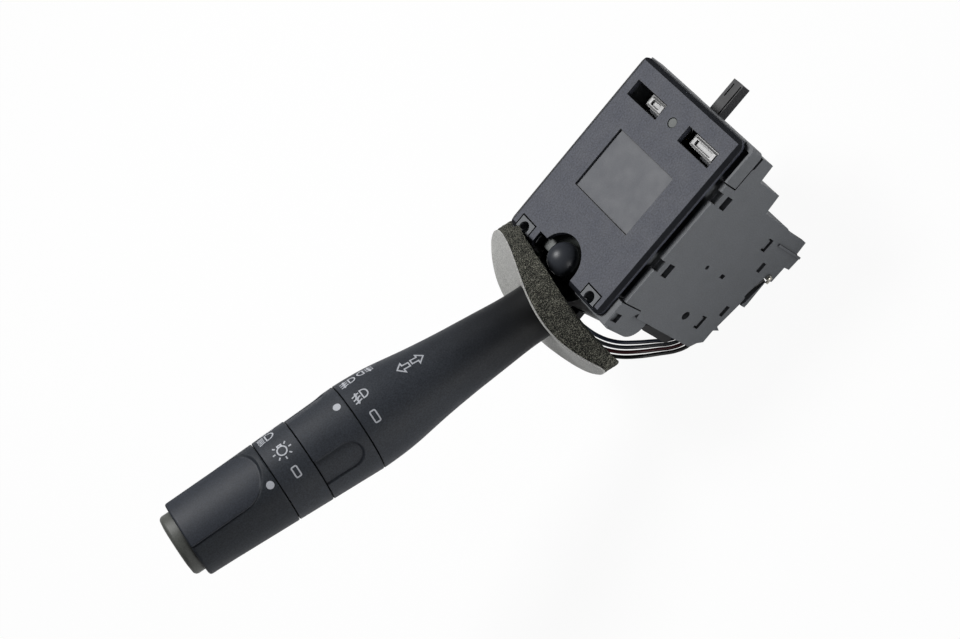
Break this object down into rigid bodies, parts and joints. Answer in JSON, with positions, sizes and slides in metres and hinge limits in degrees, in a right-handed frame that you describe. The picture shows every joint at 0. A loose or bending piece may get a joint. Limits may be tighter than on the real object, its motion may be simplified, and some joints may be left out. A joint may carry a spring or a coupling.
{
  "type": "combination stalk switch",
  "caption": "Steering column stalk switch: switch housing with connector sockets, foam gasket, and a raised stalk with turning fog ring, turning light knob and push button in its end.",
  "frame": {"origin": "midway between the two fixing screw holes, on the cover's outer face", "axes": "+X from the stalk towards the housing's column end, +Y across the housing, +Z out of the cover towards the driver"},
  "size_m": [0.237, 0.0709, 0.1378],
  "materials": {
    "housing_plastic": "fine moulded grain",
    "module_plastic": "fine moulded grain",
    "black_plastic": "satin",
    "gloss_black": "polished",
    "stalk_plastic": "satin with fine grain",
    "button_plastic": "satin",
    "nylon": "translucent",
    "nylon_grey": "satin",
    "brass": "stamped",
    "steel": "ground",
    "foam": "open-cell foam",
    "film": "smooth film",
    "wire_black": "insulation",
    "wire_red": "insulation",
    "wire_grey": "insulation",
    "wire_blue": "insulation"
  },
  "bodies": {
    "housing": {"top_cover": "housing_plastic", "switch_base": "housing_plastic", "side_plate": "module_plastic", "contact_module": "module_plastic", "connector_block_a": "black_plastic", "connector_block_b": "black_plastic", "blades_a": "brass", "blades_b": "brass", "track_plate": "brass", "upper_contact_plate": "brass", "pawl_left": "nylon", "pawl_right": "nylon", "finger_pin": "nylon_grey", "bearing_ring": "module_plastic", "foot_bush": "brass", "detent_cam": "nylon", "slider_rails": "module_plastic", "wire_clip": "module_plastic", "solder_tag": "steel", "wire_guide": "black_plastic", "wire_black": "wire_black", "wire_red": "wire_red", "wire_grey": "wire_grey", "wire_blue": "wire_blue", "lead_strap": "wire_black", "finger_spring": "steel"},
    "turn_hub": {"turn_drum": "black_plastic", "pivot_dome": "gloss_black", "tilt_pin": "steel", "detent_spring": "steel"},
    "detent_plunger": {"detent_plunger": "nylon"},
    "beam_plunger": {"beam_plunger": "nylon"},
    "lever": {"stalk_root": "black_plastic", "lever_shell": "stalk_plastic", "carrier_tube": "black_plastic", "fixed_collar": "stalk_plastic", "gasket_foam": "foam", "gasket_film": "film", "contact_barrel": "brass"},
    "fog_ring": {"fog_ring": "stalk_plastic", "fog_contact": "brass"},
    "light_knob": {"light_knob": "stalk_plastic", "knob_shaft": "steel", "horn_contact": "brass", "horn_spring": "steel"},
    "horn_button": {"horn_button": "button_plastic"},
    "cancel_finger": {"cancel_finger": "black_plastic"},
    "turn_slider": {"turn_slider": "nylon", "slider_contacts": "brass"}
  },
  "joints": [
    {"name": "indicator_turn", "type": "hinge", "parent": "housing", "child": "turn_hub", "pos_m": [0.002, 0, 0], "axis": [0, 0, 1], "range_deg": [-7, 7], "deforming": ["gasket_foam"]},
    {"name": "detent_press", "type": "slide", "parent": "turn_hub", "child": "detent_plunger", "axis": [-1, 0, 0], "range_m": [0, 0.0012], "stiffness_N_per_m": 400, "springref_m": -0.002, "deforming": ["detent_spring"]},
    {"name": "beam_tilt", "type": "hinge", "parent": "turn_hub", "child": "lever", "pos_m": [0.002, 0, -0.0204], "axis": [0, 1, 0], "range_deg": [0, 6], "stiffness_Nm_per_rad": 2, "springref_deg": -5.73, "deforming": ["gasket_foam"]},
    {"name": "beam_plunge", "type": "slide", "parent": "turn_hub", "child": "beam_plunger", "axis": [1, 0, 0], "range_m": [0, 0.0008]},
    {"name": "fog_ring_turn", "type": "hinge", "parent": "lever", "child": "fog_ring", "pos_m": [0.002, 0, -0.0204], "axis": [-0.8813, 0, 0.4726], "range_deg": [-31, 31]},
    {"name": "light_knob_turn", "type": "hinge", "parent": "lever", "child": "light_knob", "pos_m": [0.002, 0, -0.0204], "axis": [-0.8813, 0, 0.4726], "range_deg": [0, 62]},
    {"name": "horn_press", "type": "slide", "parent": "light_knob", "child": "horn_button", "axis": [0.8813, 0, -0.4726], "range_m": [0, 0.002], "stiffness_N_per_m": 900, "springref_m": -0.002, "deforming": ["horn_spring"]},
    {"name": "finger_swing", "type": "hinge", "parent": "housing", "child": "cancel_finger", "pos_m": [0.061, 0, -0.0128], "axis": [0, 0, 1], "range_deg": [-18, 18], "stiffness_Nm_per_rad": 0.02},
    {"name": "indicator_slide", "type": "slide", "parent": "housing", "child": "turn_slider", "axis": [0, 1, 0], "range_m": [-0.0022, 0.0022]}
  ],
  "couplings": [
    {"joint": "indicator_slide", "follows": "indicator_turn", "m_per_rad": 0.0166},
    {"joint": "beam_plunge", "follows": "beam_tilt", "m_per_rad": 0.0066}
  ]
}
